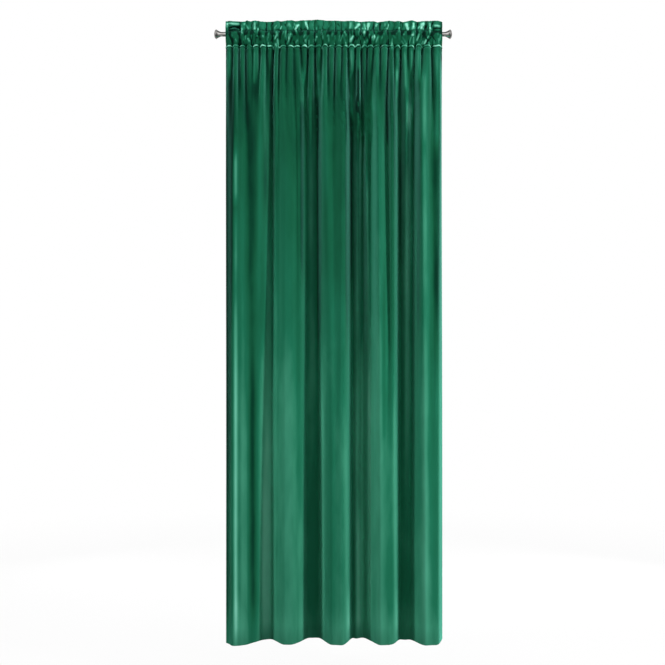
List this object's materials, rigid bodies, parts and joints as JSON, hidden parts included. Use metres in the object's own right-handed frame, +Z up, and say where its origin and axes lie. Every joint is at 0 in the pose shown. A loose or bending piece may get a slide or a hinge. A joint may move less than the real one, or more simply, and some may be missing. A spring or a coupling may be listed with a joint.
{
  "type": "rod pocket curtain panel on a curtain rod",
  "caption": "Velvet curtain panel gathered on its rod pocket under a frill heading, hanging in soft folds from a thin metal tube rod with trumpet finials.",
  "frame": {"origin": "on the rod's axis, halfway along the rod", "axes": "+X along the rod to the right seen from the front, -Y towards the viewer, +Z up"},
  "size_m": [0.953, 0.1156, 2.4992],
  "materials": {
    "velvet": "dense short pile, dull face on and pale at grazing angles",
    "rod_metal": "satin nickel plate",
    "finial_metal": "polished nickel plate"
  },
  "bodies": {
    "root": {"curtain": "velvet", "rod": "rod_metal", "finial_left": "finial_metal", "finial_right": "finial_metal"}
  },
  "joints": []
}
